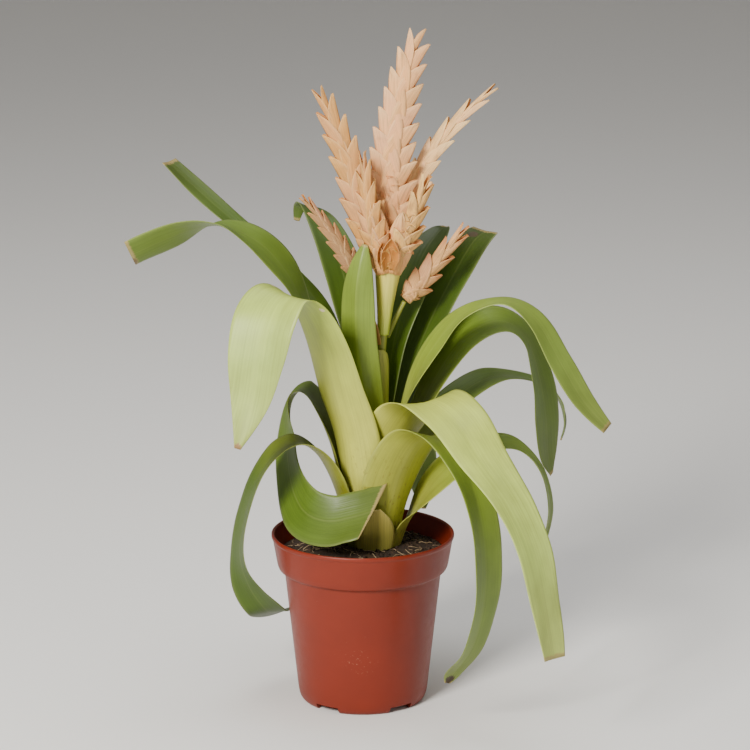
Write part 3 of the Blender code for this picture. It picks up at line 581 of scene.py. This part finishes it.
def tube_mesh(path, name, around=16, per_span=6):
    """A round stem through (x, y, z, radius) points, as marked shells are."""
    sampled = smooth_rows(path, per_span)
    points = [Vector(p[:3]) for p in sampled]
    frames = carried_frames(points, Vector((1.0, 0.1, 0.0)))
    verts, faces, data = [], [], {key: [] for key in MARKS}
    length = 0.0
    for i, (row, (tangent, side)) in enumerate(zip(sampled, frames)):
        other = tangent.cross(side)
        if i:
            length += (points[i] - points[i - 1]).length
        for j in range(around):
            angle = math.tau * j / around
            p = points[i] + (side * math.cos(angle) + other * math.sin(angle)) * row[3]
            verts.append((p.x * MM, p.y * MM, p.z * MM))
            marks = (i / (len(sampled) - 1), 0.3, row[3] * math.sin(angle) * 1.7, length, 0.0, 0.5)
            for key, value in zip(MARKS, marks):
                data[key].append(value)
    for i in range(len(sampled) - 1):
        for j in range(around):
            k = (j + 1) % around
            faces.append((i * around + j, i * around + k, (i + 1) * around + k, (i + 1) * around + j))
    faces.append(tuple(reversed(range(around))))
    last = (len(sampled) - 1) * around
    faces.append(tuple(range(last, last + around)))
    return marked_mesh(name, verts, faces, data)


def stem_material(name, low, high, seed):
    n = Nodes(name)
    color = n.ramp(n.attribute("along"), [(0.0, low), (1.0, high)])
    lines = n.streaks(1.6, 0.03, seed, 4.0)
    color = n.mix(1.0, color, n.gray(lines, [(0.25, 0.72), (0.5, 1.0), (0.8, 1.2)]), "MULTIPLY")
    return n.finish(color, 0.42, n.bump(lines, 0.4, 0.0004), see_through=0.12)


# The upper sheath widens from the stem into the foot of the head
HIGH_SHEATH = [
    (3.6, 246, 19, 0, 160, -1.8), (4.4, 260, 25, 0, 158, -0.8), (5.6, 275, 33, 0, 150, 0.2),
    (7.0, 288, 38, 0, 135, 1.2), (9.2, 297, 30, 0, 100, 1.8), (10.6, 303, 9, 0, 60, 2.2)]


def build_stems():
    green = stem_material("stem_skin", (0.18, 0.20, 0.020), (0.34, 0.36, 0.05), 3.0)
    pale = stem_material("stem_pale", (0.44, 0.52, 0.06), (0.80, 0.64, 0.13), 6.0)
    sheath = stem_material("stem_sheath_skin", (0.22, 0.24, 0.025), (0.38, 0.38, 0.07), 8.0)
    small = bract_material(
        "small_bract", (0.36, 0.40, 0.12), (0.50, 0.36, 0.20), (0.70, 0.34, 0.28), 4.0)
    paths = {"flower_stem": STEM, "side_stem_right": SIDE_STEM, "side_stem_left": SPIKE_LOW_STALK}
    for name, path in paths.items():
        add_piece("look_" + name, tube_mesh(path, "look_" + name), green, name)
    looks = dict(STEM_SHEATHS, stem_sheath_high=(262, 15.0, HIGH_SHEATH))
    for name, (bearing, center_x, rows) in looks.items():
        upper, lower, marks = strap_shell(bearing, rows, (center_x, 0.0), 40, 0.7)
        mesh = shell_mesh([(upper, lower, marks, 0.5)], "look_" + name)
        skin = {"stem_sheath_low": sheath, "stem_sheath_high": pale}.get(name, small)
        add_piece("look_" + name, mesh, skin, name)


# ---------- flower spikes ----------

def spike_point(base, bend, tip, t):
    """A point on the spine, which passes near the bend point at its middle."""
    control = bend * 2 - (base + tip) * 0.5
    return base * (1 - t) ** 2 + control * (2 * t * (1 - t)) + tip * t * t


def shell_from_grid(grid, marks, thick, tint):
    """A thin closed shell either side of a grid of points."""
    upper, lower = [], []
    rows, wide = len(grid), len(grid[0])
    for i in range(rows):
        top, low = [], []
        for j in range(wide):
            along = grid[min(i + 1, rows - 1)][j] - grid[max(i - 1, 0)][j]
            aside = grid[i][min(j + 1, wide - 1)] - grid[i][max(j - 1, 0)]
            normal = along.cross(aside)
            normal = normal.normalized() if normal.length > 1e-9 else Vector((0, 0, 1))
            top.append(grid[i][j] + normal * thick * 0.5)
            low.append(grid[i][j] - normal * thick * 0.5)
        upper.append(top)
        lower.append(low)
    return upper, lower, marks, tint


BRACT_THICKNESS = 0.32


def bract_shell(spine, start, end, half, depth, sign, look, flare, rng):
    """A boat-shaped scale: its keel leans out to a tooth and its cheeks wrap the front and back."""
    long_steps, wide_steps = 14, 16
    seed = rng.random() * 60
    length = (spine(end) - spine(start)).length
    lean = rng.uniform(0.78, 0.95) if sign > 0 else rng.uniform(0.50, 0.66)
    hook = rng.uniform(-0.03, 0.12)
    ruffle = rng.uniform(0.4, 1.0)
    lift = rng.uniform(0.3, 1.1)
    grid, marks = [], []
    for i in range(long_steps + 1):
        u = i / long_steps
        t = start + (end - start) * u
        center = spine(t)
        tangent = (spine(t + 0.02) - spine(t - 0.02)).normalized()
        across = tangent.cross(look).normalized() * sign
        facing = (across * sign).cross(tangent).normalized()
        keel = half * (0.04 + 0.98 * u ** lean - hook * u ** 8)
        uneven = 0.9 * noise.noise(Vector((u * 4, seed, 1.0))) * (1 - u)
        margin = half * (-0.40 + 1.30 * u ** 3.2) + uneven
        plump = math.sin(math.pi * (0.12 + 0.80 * u)) ** 0.7 * (1 - 0.85 * u ** 6)
        line, mark = [], []
        for j in range(wide_steps + 1):
            v = (2 * j / wide_steps - 1) * sign
            w = abs(v)
            x = keel + (min(margin, keel - 0.3) - keel) * w ** 1.1
            bulge = math.sin(math.pi * 0.5 * min(1.0, w * 1.25)) - 0.10 * max(0.0, w - 0.75) * 4
            side = 1.0 if v > 0 else -1.0
            z = side * (depth * plump * bulge + (lift + flare) * w * u ** 3)
            z += side * ruffle * w * noise.noise(Vector((u * 6.0, v * 3.0, seed)))
            z += 0.35 * math.sin(u * 9.0 + w * 5.0 + seed) * w * (1 - u)
            y = length * 0.07 * math.sin(math.pi * u) * w
            line.append(center + tangent * y + across * x + facing * z)
            mark.append((u, v, v * (keel - margin + 2.0), u * length))
        grid.append(line)
        marks.append(mark)
    return shell_from_grid(grid, marks, BRACT_THICKNESS, rng.random())


def spike_shells(spec, rng, flare):
    """All bracts of a spike, left and right by turns from its foot, and one more at its tip."""
    base, bend, tip = (Vector(p) for p in spec[:3])
    wide, narrow, thick, bracts = spec[3:7]
    look = Vector(spec[7]).normalized()
    total = (tip - base).length
    pitch = total / bracts

    def spine(t):
        return spike_point(base, bend, tip, t)

    shells = []
    for step in range(2 * bracts + 1):
        t = step / (2 * bracts) * 0.94
        half = 0.54 * (narrow + (wide - narrow) * (1 - t ** 1.6)) * min(1.0, 0.56 + t * 1.8)
        end = min(1.0, t + 0.5 * pitch / total)
        length = pitch * 2.5 * rng.uniform(0.9, 1.2)
        start = max(0.0, end - length / total)
        if end - start < 0.06:
            continue
        depth = 0.5 * thick * (1.15 - 0.5 * t)
        sign = -1.0 if step % 2 == 0 else 1.0
        half *= rng.uniform(0.92, 1.0) + 0.03 * sign
        if step == 2 * bracts:
            half *= 0.65
        shells.append(bract_shell(spine, start, end, half, depth, sign, look,
                                  flare * rng.uniform(0.2, 1.0), rng))
    top_start = 1 - 1.8 * pitch / total
    shells.append(bract_shell(spine, top_start, 1.0, 0.32 * narrow, 0.25 * thick, 1.0, look, flare, rng))
    return shells


def open_scale(base, tip, width, look, rng, hollow=0.75):
    """One bract spread flat, hollow towards the front, or bulging where hollow is negative."""
    axis = tip - base
    tangent = axis.normalized()
    across = tangent.cross(look).normalized()
    facing = across.cross(tangent).normalized()
    seed = rng.random() * 40
    long_steps, wide_steps = 14, 16
    grid, marks = [], []
    for i in range(long_steps + 1):
        u = i / long_steps
        half = 0.5 * width * max(0.04, math.sin(math.pi * (0.18 + 0.80 * u ** 1.2)) ** 0.8)
        line, mark = [], []
        for j in range(wide_steps + 1):
            v = 2 * j / wide_steps - 1
            rough = 1.2 * noise.noise(Vector((u * 4, v * 3, seed)))
            cup = half * hollow * (v * v - 0.2) + rough + 1.8 * u * u
            line.append(base + axis * u + across * (half * v) + facing * cup)
            mark.append((u, v, v * half, u * axis.length))
        if hollow < 0:
            line.reverse()
            mark.reverse()
        grid.append(line)
        marks.append(mark)
    return shell_from_grid(grid, marks, BRACT_THICKNESS, rng.random())


# Broad bracts that wrap the foot of the head: base, tip, width
FOOT_BRACTS = [
    ((12.5, -6, 287), (1, -12, 327), 13), ((20.5, -6, 287), (31, -11, 320), 13),
    ((14, -9, 288), (8, -16, 336), 14), ((19.5, -9, 288), (25, -16, 330), 13),
]

# Each spike's colour at the foot, middle and tip of a bract, how far its bracts flare in mm,
# and how dried out it is
SPIKE_LOOKS = {
    "spike_center": ((0.90, 0.46, 0.15), (0.98, 0.54, 0.23), (0.98, 0.66, 0.32), 0.4, 0.25),
    "spike_left": ((0.78, 0.38, 0.10), (0.72, 0.36, 0.10), (0.86, 0.50, 0.16), 0.8, 0.65),
    "spike_right": ((0.92, 0.52, 0.18), (0.98, 0.64, 0.28), (0.98, 0.72, 0.34), 0.4, 0.3),
    "spike_front_left": ((0.80, 0.42, 0.12), (0.82, 0.42, 0.12), (0.90, 0.54, 0.18), 1.4, 0.85),
    "spike_front_right": ((0.84, 0.48, 0.14), (0.96, 0.58, 0.18), (0.98, 0.70, 0.26), 2.2, 1.0),
    "bract_front_open": ((0.70, 0.46, 0.12), (0.68, 0.30, 0.06), (0.72, 0.38, 0.12), 1.2, 1.0),
    "spike_low_left": ((0.46, 0.26, 0.11), (0.54, 0.30, 0.14), (0.56, 0.28, 0.11), 0.3, 0.4),
    "spike_low_right": ((0.86, 0.46, 0.18), (0.96, 0.54, 0.22), (0.64, 0.26, 0.10), 0.8, 0.6),
}


def filament(start, direction, length, rng):
    """A dried stamen: a thin drooping tube."""
    path, point, heading = [], Vector(start), Vector(direction).normalized()
    steps = 7
    for i in range(steps):
        path.append((point.x, point.y, point.z, 0.32 - 0.03 * i))
        droop = Vector((rng.uniform(-0.35, 0.35), rng.uniform(-0.35, 0.35), rng.uniform(-0.45, 0.25)))
        heading = (heading + droop).normalized()
        point = point + heading * (length / steps)
    return path


def join_meshes(meshes, name):
    build = bmesh.new()
    for mesh in meshes:
        build.from_mesh(mesh)
    joined = bpy.data.meshes.new(name)
    build.to_mesh(joined)
    build.free()
    joined.shade_smooth()
    return joined


DRIED_STAMENS = ("spike_center", "bract_front_open", "spike_front_right")
STAMENS_EACH = 7


def build_spikes():
    for index, (name, spec) in enumerate(SPIKES.items()):
        rng = random.Random(40 + index)
        low, high, tip_color, flare, dried = SPIKE_LOOKS[name]
        base, bend, tip = (Vector(p) for p in spec[:3])
        if name == "bract_front_open":
            look = Vector(spec[7]).normalized()
            middle = base.lerp(tip, 0.7)
            behind_base = base + Vector((-2.5, 1.5, 1))
            behind_tip = middle + Vector((-6, 3, -3))
            shells = [open_scale(base, middle, 12.0, look, rng),
                      open_scale(behind_base, behind_tip, 9.0, look, rng)]
        else:
            shells = spike_shells(spec, rng, flare)
        parts = [shell_mesh(shells, "look_" + name)]
        spine = [(*spike_point(base, bend, tip, t / 6 * 0.9), 1.5 - 0.16 * t) for t in range(7)]
        if name != "bract_front_open":
            parts.append(tube_mesh(spine, "spine_" + name, 10, 3))
        if name == "spike_center":
            front = Vector((0.0, -1.0, 0.0))
            feet = [open_scale(Vector(low_end), Vector(high_end), wide, front, rng, -0.5)
                    for low_end, high_end, wide in FOOT_BRACTS]
            parts.append(shell_mesh(feet, "foot_bracts"))
        if name in DRIED_STAMENS:
            for _ in range(STAMENS_EACH):
                t = rng.uniform(0.1, 0.7)
                at = spike_point(base, bend, tip, t) + Vector((rng.uniform(-5, 6), -3.5, 0))
                stamen = filament(at, (rng.uniform(-0.6, 0.6), -0.6, 0.5), 8, rng)
                parts.append(tube_mesh(stamen, "stamen", 6, 2))
        joined = join_meshes(parts, "look_" + name)
        skin = bract_material("dry_" + name, low, high, tip_color, 7.0 + index, dried)
        add_piece("look_" + name, joined, skin, name)


# ---------- pot, soil, crown ----------

def lathe(name, profile, steps):
    """The closed outline of (radius, height) turned round the z axis."""
    verts, faces = [], []
    for s in range(steps):
        angle = math.tau * s / steps
        for r, z in profile:
            verts.append((r * math.cos(angle) * MM, r * math.sin(angle) * MM, z * MM))
    size = len(profile)
    for s in range(steps):
        t = (s + 1) % steps
        for i in range(size):
            k = (i + 1) % size
            faces.append((s * size + i, t * size + i, t * size + k, s * size + k))
    mesh = bpy.data.meshes.new(name)
    mesh.from_pydata(verts, [], faces)
    build = bmesh.new()
    build.from_mesh(mesh)
    bmesh.ops.remove_doubles(build, verts=build.verts, dist=1e-6)
    bmesh.ops.recalc_face_normals(build, faces=build.faces)
    build.to_mesh(mesh)
    build.free()
    return mesh


CORNER_STEPS = 4


def rounded(profile, radii):
    """The outline with each corner rounded to its own radius."""
    out = []
    count = len(profile)
    for i, (x, z) in enumerate(profile):
        r = radii[i]
        if r <= 0:
            out.append((x, z))
            continue
        here = Vector((x, z))
        before, after = Vector(profile[i - 1]), Vector(profile[(i + 1) % count])
        a = here + (before - here).normalized() * min(r, (before - here).length * 0.45)
        b = here + (after - here).normalized() * min(r, (after - here).length * 0.45)
        for k in range(CORNER_STEPS + 1):
            t = k / CORNER_STEPS
            p = a * (1 - t) ** 2 + here * (2 * t * (1 - t)) + b * t * t
            out.append((p.x, p.y))
    return out


def cut_with(obj, cutter):
    modifier = obj.modifiers.new("cut", "BOOLEAN")
    modifier.operation = "DIFFERENCE"
    modifier.solver = "EXACT"
    modifier.object = cutter
    graph = bpy.context.evaluated_depsgraph_get()
    mesh = bpy.data.meshes.new_from_object(obj.evaluated_get(graph))
    obj.modifiers.clear()
    obj.data = mesh
    bpy.data.objects.remove(cutter)


# The pot's outline: (radius, height, rounding of the corner), down the outside, in under the
# foot and up the inside
POT_OUTLINE = [
    (59.3, 113.0, 0.5), (60.0, 112.3, 0.6), (60.0, 110.6, 0.6), (59.1, 109.4, 0.8),
    (56.2, 92.5, 1.8), (55.2, 89.6, 1.5), (53.4, 89.0, 0.8), (51.5, 88.0, 1.2),
    (42.6, 6.5, 3.0), (41.6, 2.4, 1.6), (39.8, 0.0, 1.2), (37.4, 0.0, 0.3),
    (36.8, 4.5, 1.0), (23.0, 4.5, 1.0), (21.5, 0.0, 0.8), (0.0, 0.0, 0),
    (0.0, 1.8, 0), (21.0, 1.8, 0.8), (22.6, 6.1, 0.8), (39.4, 6.1, 1.5),
    (50.1, 89.6, 1.0), (53.6, 91.6, 1.5), (57.6, 109.8, 0.8), (58.0, 112.4, 0.4)]
NOTCH_COUNT, NOTCH_TURN, NOTCH_OUT = 5, 0.27, 39.0
NOTCH_SIZE = (12, 17, 8.4)
HOLE_COUNT, HOLE_RADIUS, HOLE_DEPTH = 6, 4, 14
HOLE_OUT, HOLE_HEIGHT = 29, 4.5


def build_pot():
    """The turned pot, with notches through its foot and drain holes through its raised floor."""
    outline = [(r, z) for r, z, _ in POT_OUTLINE]
    mesh = lathe("look_pot", rounded(outline, [radius for _, _, radius in POT_OUTLINE]), 144)
    obj = placed("look_pot", mesh)
    build = bmesh.new()
    notch = Matrix.Diagonal((*(side * MM for side in NOTCH_SIZE), 1))
    for index in range(NOTCH_COUNT):
        turn = Matrix.Rotation(math.tau * (index + NOTCH_TURN) / NOTCH_COUNT, 4, "Z")
        place = turn @ Matrix.Translation((NOTCH_OUT * MM, 0, 0))
        bmesh.ops.create_cube(build, size=1.0, matrix=place @ notch)
    size = {"radius1": HOLE_RADIUS * MM, "radius2": HOLE_RADIUS * MM, "depth": HOLE_DEPTH * MM}
    for index in range(HOLE_COUNT):
        turn = Matrix.Rotation(math.tau * index / HOLE_COUNT, 4, "Z")
        place = turn @ Matrix.Translation((HOLE_OUT * MM, 0, HOLE_HEIGHT * MM))
        bmesh.ops.create_cone(build, cap_ends=True, segments=32, matrix=place, **size)
    tool = bpy.data.meshes.new("pot_tool")
    build.to_mesh(tool)
    build.free()
    cutter = placed("pot_tool", tool)
    bpy.context.view_layer.update()
    cut_with(obj, cutter)
    obj.data.materials.clear()
    obj.data.materials.append(pot_material())
    obj.data.shade_smooth()
    obj.data.set_sharp_from_angle(angle=math.radians(38))
    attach(obj, "root")
    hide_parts("pot")


SOIL_TOP, SOIL_FLAT, SOIL_SLOPE = 106.3, 28, 0.235
SOIL_RADIUS, SOIL_EDGE_HEIGHT = 54.0, 99.6
# (radius, height) of the soil's side and bottom, inside the pot
SOIL_SIDE = ((53.0, 92.6), (49.4, 89.0), (38.8, 6.8), (22.0, 6.6), (20.6, 2.4))


def soil_height(x, y):
    """The lumpy surface: level round the crown and falling towards the rim."""
    r = math.hypot(x, y)
    slope = SOIL_TOP if r < SOIL_FLAT else SOIL_TOP - (r - SOIL_FLAT) * SOIL_SLOPE
    broad = 1.1 * noise.noise(Vector((x * 0.11, y * 0.11, 3.0)))
    lumps = broad + 0.8 * noise.noise(Vector((x * 0.35, y * 0.35, 9.0)))
    lumps += 0.45 * noise.noise(Vector((x * 0.9, y * 0.9, 5.0)))
    return slope + lumps - 0.6


def soil_body():
    verts, faces = [], []
    rings, around = 46, 180
    for i in range(rings + 1):
        r = SOIL_RADIUS * i / rings
        for j in range(around):
            angle = math.tau * j / around
            x, y = r * math.cos(angle), r * math.sin(angle)
            height = soil_height(x, y) if r < SOIL_RADIUS - 0.1 else SOIL_EDGE_HEIGHT
            verts.append((x * MM, y * MM, height * MM))
    for i in range(rings):
        for j in range(around):
            k = (j + 1) % around
            faces.append((i * around + j, (i + 1) * around + j, (i + 1) * around + k, i * around + k))
    below = len(verts)
    for r, z in SOIL_SIDE:
        for j in range(around):
            angle = math.tau * j / around
            verts.append((r * math.cos(angle) * MM, r * math.sin(angle) * MM, z * MM))
    previous = rings * around
    for level in range(len(SOIL_SIDE)):
        here = below + level * around
        for j in range(around):
            k = (j + 1) % around
            faces.append((previous + j, here + j, here + k, previous + k))
        previous = here
    faces.append(tuple(previous + j for j in reversed(range(around))))
    mesh = bpy.data.meshes.new("soil_body")
    mesh.from_pydata(verts, [], faces)
    return mesh


def soil_crumbs(rng):
    """Loose crumbs on the soil, clear of the crown."""
    crumbs = bmesh.new()
    for _ in range(900):
        angle, r = rng.random() * math.tau, 52.0 * math.sqrt(rng.random())
        x, y = r * math.cos(angle), r * math.sin(angle)
        if math.hypot(x - CROWN[0], y) < 19.5:
            continue
        size = rng.uniform(0.35, 1.25) * (1.5 if rng.random() < 0.12 else 1.0)
        place = Matrix.Translation((x * MM, y * MM, (soil_height(x, y) + size * 0.3) * MM))
        spin = rng.random() * math.tau
        turn = Matrix.Rotation(spin, 4, Vector((rng.random(), rng.random(), rng.random() + 0.1)))
        sides = (rng.uniform(0.7, 1.6), rng.uniform(0.6, 1.2), rng.uniform(0.5, 1.0))
        stretch = Matrix.Diagonal((*sides, 1.0))
        shape = place @ turn @ stretch
        bmesh.ops.create_icosphere(crumbs, subdivisions=1, radius=size * MM, matrix=shape)
    mesh = bpy.data.meshes.new("soil_crumbs")
    crumbs.to_mesh(mesh)
    crumbs.free()
    return mesh


def soil_fibres(rng):
    """Thin dry roots and stalks lying on the soil."""
    fibres = []
    for _ in range(70):
        angle, r = rng.random() * math.tau, rng.uniform(24.0, 49.0)
        x, y = r * math.cos(angle), r * math.sin(angle)
        if math.hypot(x - CROWN[0], y) < 21.0:
            continue
        heading, path = rng.random() * math.tau, []
        thick = rng.uniform(0.12, 0.30)
        for step in range(6):
            if math.hypot(x, y) > 52.0:
                break
            path.append((x, y, soil_height(x, y) + 0.35 + 0.5 * abs(math.sin(step * 1.3)), thick))
            heading += rng.uniform(-0.5, 0.5)
            x += math.cos(heading) * 2.2
            y += math.sin(heading) * 2.2
        if len(path) > 2:
            fibres.append(tube_mesh(path, "fibre", 6, 2))
    return join_meshes(fibres, "look_soil_fibres")


def build_soil():
    rng = random.Random(12)
    mesh = join_meshes([soil_body(), soil_crumbs(rng)], "look_soil")
    add_piece("look_soil", mesh, soil_material(), "soil")
    fibres = soil_fibres(rng)
    pale = plain_material("dry_fibre", (0.34, 0.24, 0.14), 0.8, 900.0, 0.2)
    add_piece("look_soil_fibres", fibres, pale, None)


def build_crown():
    """The short woody crown that the leaves grow from."""
    outline = [(19.0, 103.8), (20.5, 101.8), (17.5, 88.0), (11.5, 84.0), (0.0, 84.0), (0.0, 103.8)]
    mesh = lathe("look_crown", rounded(outline, [1.0, 1.5, 2.0, 2.0, 0, 0]), 64)
    for vertex in mesh.vertices:
        vertex.co.x += CROWN[0] * MM
    mesh.shade_smooth()
    bark = plain_material("crown_bark", (0.22, 0.15, 0.07), 0.8, 320.0, 0.35)
    add_piece("look_crown", mesh, bark, "crown")


# ---------- light, floor and camera ----------

# Each lamp: name, place, point it aims at and size in metres, power in watts, colour
LAMPS = [
    ("key", (-0.8, -1.45, 1.1), (0.0, 0.0, 0.22), (0.5, 0.5), 60.0, (1.0, 0.965, 0.90)),
    ("fill", (1.5, -1.3, 0.8), (0.0, 0.0, 0.2), (1.2, 1.2), 5.0, (1.0, 0.97, 0.93)),
    ("top", (0.1, 0.2, 1.7), (0.0, 0.0, 0.2), (1.2, 1.2), 16.0, (1.0, 1.0, 1.0)),
]
ROOM_LIGHT, ROOM_STRENGTH = (1.0, 0.98, 0.95, 1.0), 0.26
PAPER_WHITE = (0.80, 0.79, 0.77)
LENS_MM, SENSOR_MM, CAMERA_CLIP = 168.0, 36.0, 50.0
CAMERA_PLACE, CAMERA_DOWN = (0.008, -2.2, 0.775), 0.2476


def area_light(name, place, aim, size, power, color):
    light = bpy.data.lights.new(name, "AREA")
    light.shape = "RECTANGLE"
    light.size, light.size_y = size
    light.energy = power
    light.color = color
    obj = placed(name, light)
    obj.location = place
    obj.rotation_euler = (Vector(aim) - Vector(place)).to_track_quat("-Z", "Y").to_euler()


def build_stage():
    """A paper floor that curves up into the backdrop, the lamps and the room's own light."""
    floor_material = Nodes("floor_paper").finish(PAPER_WHITE, 0.9)
    verts, faces = [], []
    cove, near_wall, half_width, front_edge, wall_top = 1.0, 4.0, 6.0, -5.0, 5.0
    profile = [(front_edge, 0.0), (near_wall, 0.0)]
    for degrees in range(9, 91, 9):
        a = math.radians(degrees)
        profile.append((near_wall + cove * math.sin(a), cove - cove * math.cos(a)))
    profile.append((near_wall + cove, wall_top))
    for y, z in profile:
        verts += [(-half_width, y, z), (half_width, y, z)]
    for i in range(len(profile) - 1):
        faces.append((2 * i, 2 * i + 1, 2 * i + 3, 2 * i + 2))
    mesh = bpy.data.meshes.new("floor")
    mesh.from_pydata(verts, [], faces)
    mesh.materials.append(floor_material)
    mesh.shade_smooth()
    placed("floor", mesh)
    for lamp in LAMPS:
        area_light(*lamp)
    world = bpy.data.worlds.new("studio")
    world.use_nodes = True
    background = world.node_tree.nodes["Background"].inputs
    background[0].default_value = ROOM_LIGHT
    background[1].default_value = ROOM_STRENGTH
    bpy.context.scene.world = world


def build_camera():
    camera = bpy.data.cameras.new("camera")
    camera.lens = LENS_MM
    camera.sensor_width = SENSOR_MM
    camera.clip_end = CAMERA_CLIP
    obj = placed("camera", camera)
    obj.location = CAMERA_PLACE
    obj.rotation_euler = (math.pi / 2 - CAMERA_DOWN, 0.0, 0.0)
    bpy.context.scene.camera = obj


# ---------- build ----------


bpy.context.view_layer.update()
build_pot()
build_soil()
build_crown()
build_leaves()
build_stems()
build_spikes()
build_stage()
build_camera()
